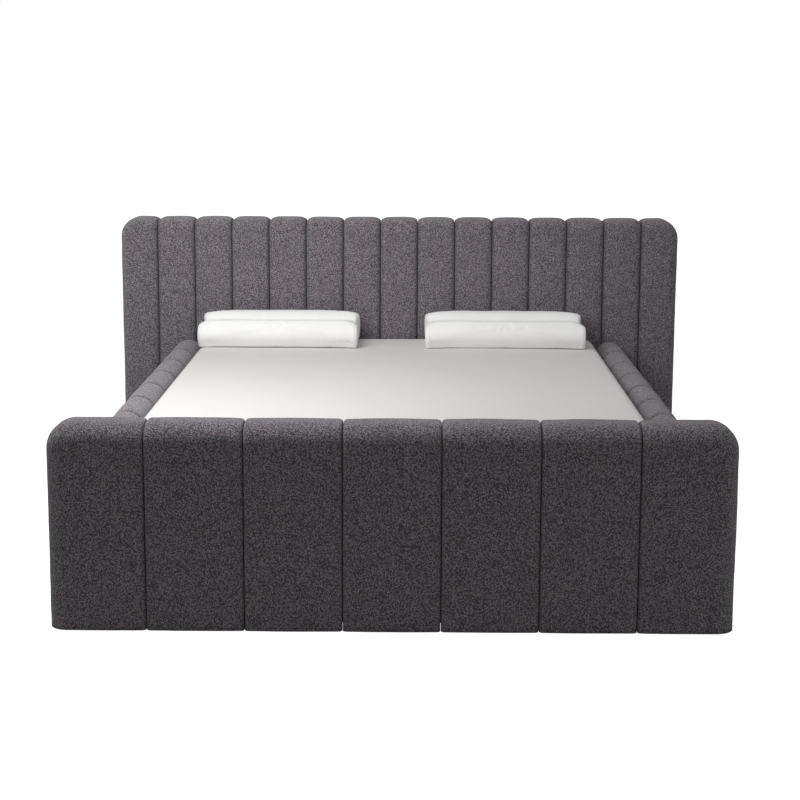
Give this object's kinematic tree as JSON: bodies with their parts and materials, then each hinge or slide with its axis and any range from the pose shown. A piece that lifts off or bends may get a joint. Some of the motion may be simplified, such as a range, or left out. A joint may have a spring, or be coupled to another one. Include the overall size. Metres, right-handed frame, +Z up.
{
  "type": "adjustable bed",
  "caption": "Upholstered bed with channelled headboard and footboard, padded side rails, and a powered base that tilts the head and lifts the knees under a mattress and pillows.",
  "frame": {"origin": "on the floor, at the middle of the bed's footprint", "axes": "+Y towards the headboard along the bed's length, +Z up, +X to the right when seen from the foot end"},
  "size_m": [2.179, 2.3199, 0.98],
  "materials": {
    "boucle": "curly boucle upholstery, charcoal grey",
    "lining": "plain woven lining",
    "timber": "sawn pine",
    "board": "plywood",
    "frame_steel": "fine black powder coat",
    "bright_steel": "zinc plated steel",
    "case_plastic": "moulded, fine spark texture",
    "nylon": "natural nylon",
    "buffer_rubber": "moulded rubber",
    "mattress_knit": "stretch knit, off-white",
    "pillow_knit": "fine dotted knit, white"
  },
  "bodies": {
    "root": {"headboard_board": "board", "headboard_channels": "boucle", "headboard_back_cover": "lining", "footboard_board": "board", "footboard_channels": "boucle", "footboard_inner_cover": "boucle", "surround_posts": "timber", "floor_glides": "case_plastic", "rail_board_left": "timber", "rail_board_right": "timber", "rail_pad_left": "boucle", "rail_pad_right": "boucle", "rail_brackets": "frame_steel", "surround_bolts": "bright_steel", "chassis_side_tubes": "frame_steel", "chassis_cross_tubes": "frame_steel", "chassis_legs": "case_plastic", "hinge_plates": "frame_steel", "hinge_bushes": "nylon", "deck_buffers": "buffer_rubber", "rail_ties": "frame_steel", "link_shafts": "bright_steel", "seat_board": "board", "seat_cover": "lining", "drive_case": "case_plastic", "drive_lid": "case_plastic", "drive_motors": "frame_steel", "control_box": "case_plastic", "power_supply": "case_plastic", "mattress_fold_head": "mattress_knit", "mattress_seat": "mattress_knit", "mattress_fold_thigh": "mattress_knit"},
    "head_section": {"head_torque_tube": "bright_steel", "head_arms": "frame_steel", "head_cross_tubes": "frame_steel", "head_lever": "frame_steel", "head_board": "board", "head_cover": "lining", "mattress_head": "mattress_knit", "pillow_left": "pillow_knit", "pillow_right": "pillow_knit"},
    "thigh_section": {"leg_torque_tube": "bright_steel", "thigh_arms": "frame_steel", "leg_lever": "frame_steel", "knee_pins": "bright_steel", "thigh_board": "board", "thigh_cover": "lining", "mattress_thigh": "mattress_knit"},
    "calf_section": {"calf_arms": "frame_steel", "calf_cross_tubes": "frame_steel", "calf_link_plates": "frame_steel", "calf_board": "board", "calf_cover": "lining", "mattress_retainer": "bright_steel", "mattress_calf": "mattress_knit"},
    "calf_links": {"calf_links": "frame_steel"},
    "head_push_block": {"head_push_block": "nylon"},
    "leg_push_block": {"leg_push_block": "nylon"},
    "head_screw": {"head_screw": "bright_steel"},
    "leg_screw": {"leg_screw": "bright_steel"}
  },
  "joints": [
    {"name": "head_tilt", "type": "hinge", "parent": "root", "child": "head_section", "pos_m": [0, 0.255, 0.23], "axis": [1, 0, 0], "range_deg": [0, 60], "deforming": ["mattress_fold_head"]},
    {"name": "thigh_lift", "type": "hinge", "parent": "root", "child": "thigh_section", "pos_m": [0, -0.085, 0.23], "axis": [-1, 0, 0], "range_deg": [0, 35], "deforming": ["mattress_fold_thigh"]},
    {"name": "knee_fold", "type": "hinge", "parent": "thigh_section", "child": "calf_section", "pos_m": [0, -0.445, 0.23], "axis": [1, 0, 0], "range_deg": [0, 35]},
    {"name": "link_swing", "type": "hinge", "parent": "root", "child": "calf_links", "pos_m": [0, -0.085, 0.18], "axis": [-1, 0, 0], "range_deg": [0, 35]},
    {"name": "head_push", "type": "slide", "parent": "root", "child": "head_push_block", "axis": [0, 1, 0], "range_m": [0, 0.12]},
    {"name": "leg_push", "type": "slide", "parent": "root", "child": "leg_push_block", "axis": [0, -1, 0], "range_m": [0, 0.0722]},
    {"name": "head_screw_turn", "type": "hinge", "parent": "root", "child": "head_screw", "pos_m": [0.06, 0.19, 0.085], "axis": [0, 1, 0], "range_deg": [0, 3600]},
    {"name": "leg_screw_turn", "type": "hinge", "parent": "root", "child": "leg_screw", "pos_m": [-0.06, -0.05, 0.085], "axis": [0, -1, 0], "range_deg": [0, 2166]}
  ],
  "couplings": [
    {"joint": "head_push", "follows": "head_tilt", "m_per_rad": 0.11457},
    {"joint": "head_screw_turn", "follows": "head_tilt", "ratio": 59.98},
    {"joint": "knee_fold", "follows": "thigh_lift", "ratio": 1},
    {"joint": "link_swing", "follows": "thigh_lift", "ratio": 1},
    {"joint": "leg_push", "follows": "thigh_lift", "m_per_rad": 0.11811},
    {"joint": "leg_screw_turn", "follows": "thigh_lift", "ratio": 61.84}
  ]
}
